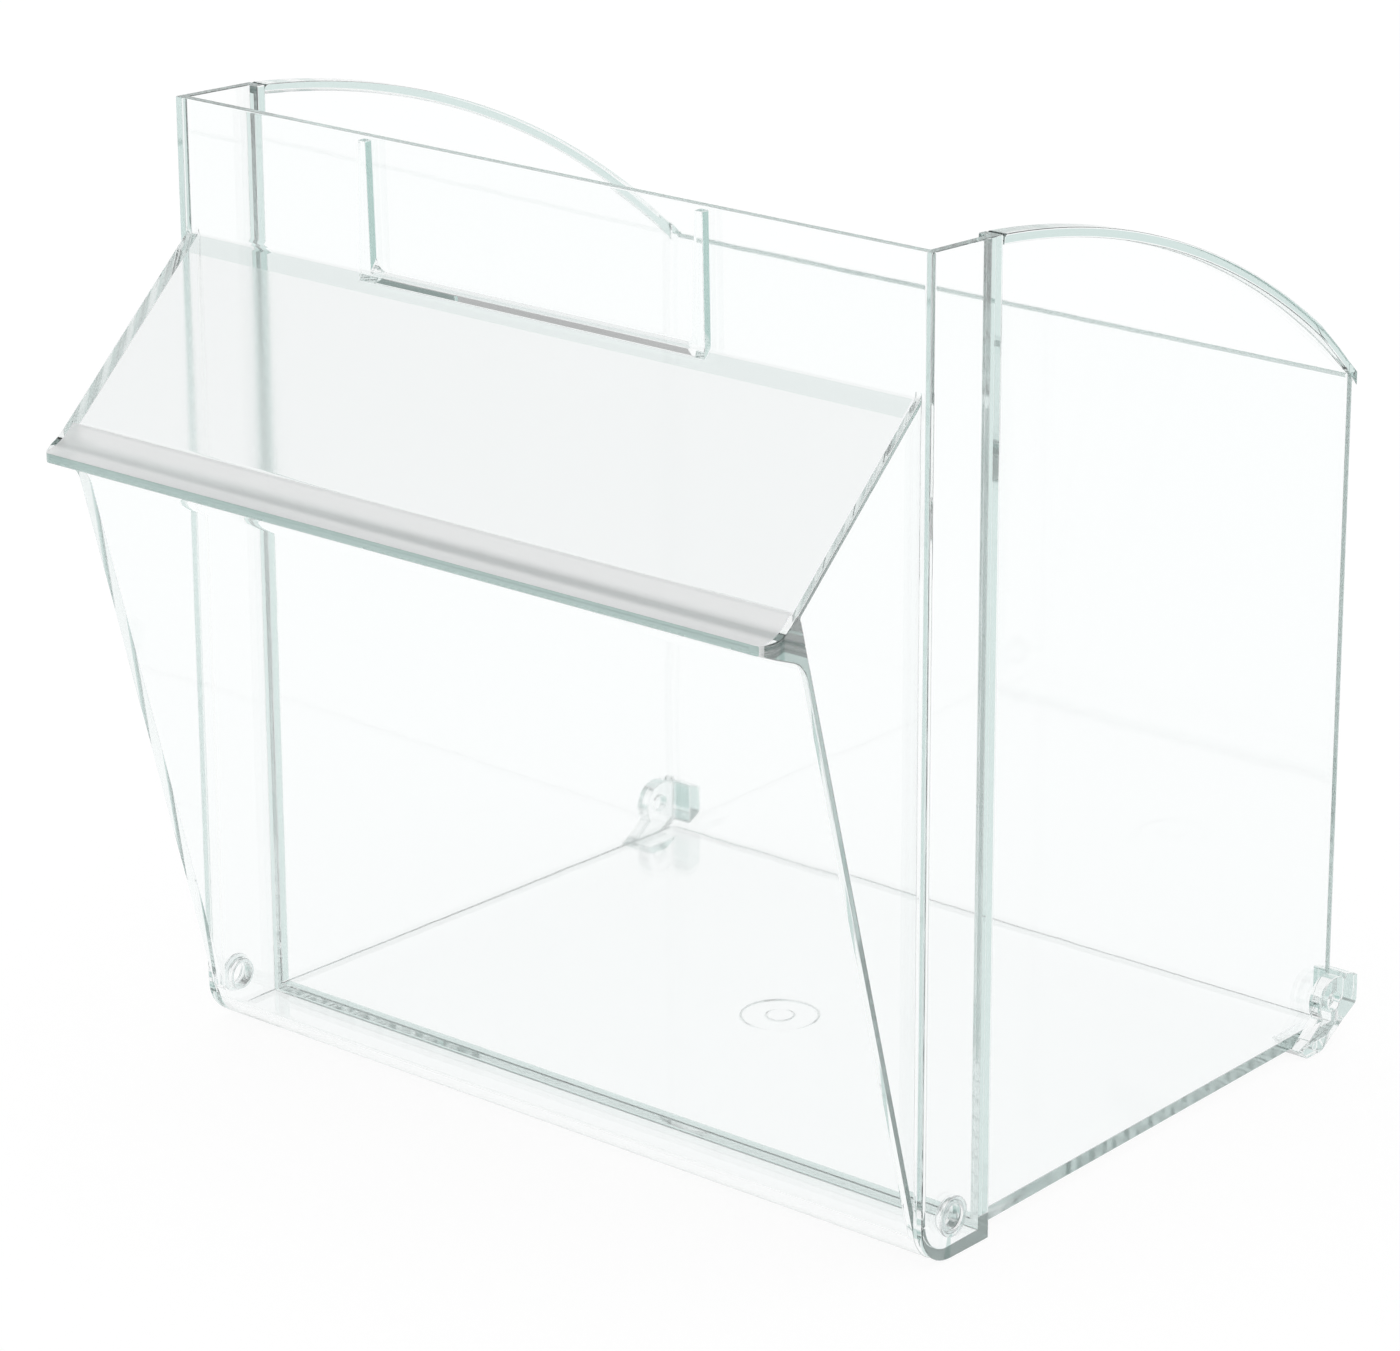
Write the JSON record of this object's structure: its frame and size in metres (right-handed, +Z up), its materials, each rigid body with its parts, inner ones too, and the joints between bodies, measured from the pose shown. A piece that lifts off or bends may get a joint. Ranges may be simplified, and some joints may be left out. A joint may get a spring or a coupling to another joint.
{
  "type": "tip-out bin",
  "caption": "Clear open-topped storage bin that tips forward on two low pivots, with a sloping hood, a pull lip and a label frame on its front.",
  "frame": {"origin": "centre of the object's box, at the surface it stands on", "axes": "+Z up, -Y towards the front that carries the hood and the lip, +X to the right as seen from behind the viewer who faces the front from -Y"},
  "size_m": [0.2924, 0.292, 0.302],
  "materials": {
    "clear_moulding": "clear injection-moulded styrene, polished",
    "clear_bush": "clear moulded bush, polished"
  },
  "bodies": {
    "pivot": {"pivot_bush_left": "clear_bush", "pivot_bush_right": "clear_bush"},
    "bin": {"tub": "clear_moulding", "front_panel": "clear_moulding", "label_frame": "clear_moulding", "stop_lug_left": "clear_moulding", "stop_lug_right": "clear_moulding"}
  },
  "joints": [
    {"name": "tip_out", "type": "hinge", "parent": "pivot", "child": "bin", "pos_m": [0, -0.0665, 0.0135], "axis": [1, 0, 0], "range_deg": [0, 45]}
  ]
}
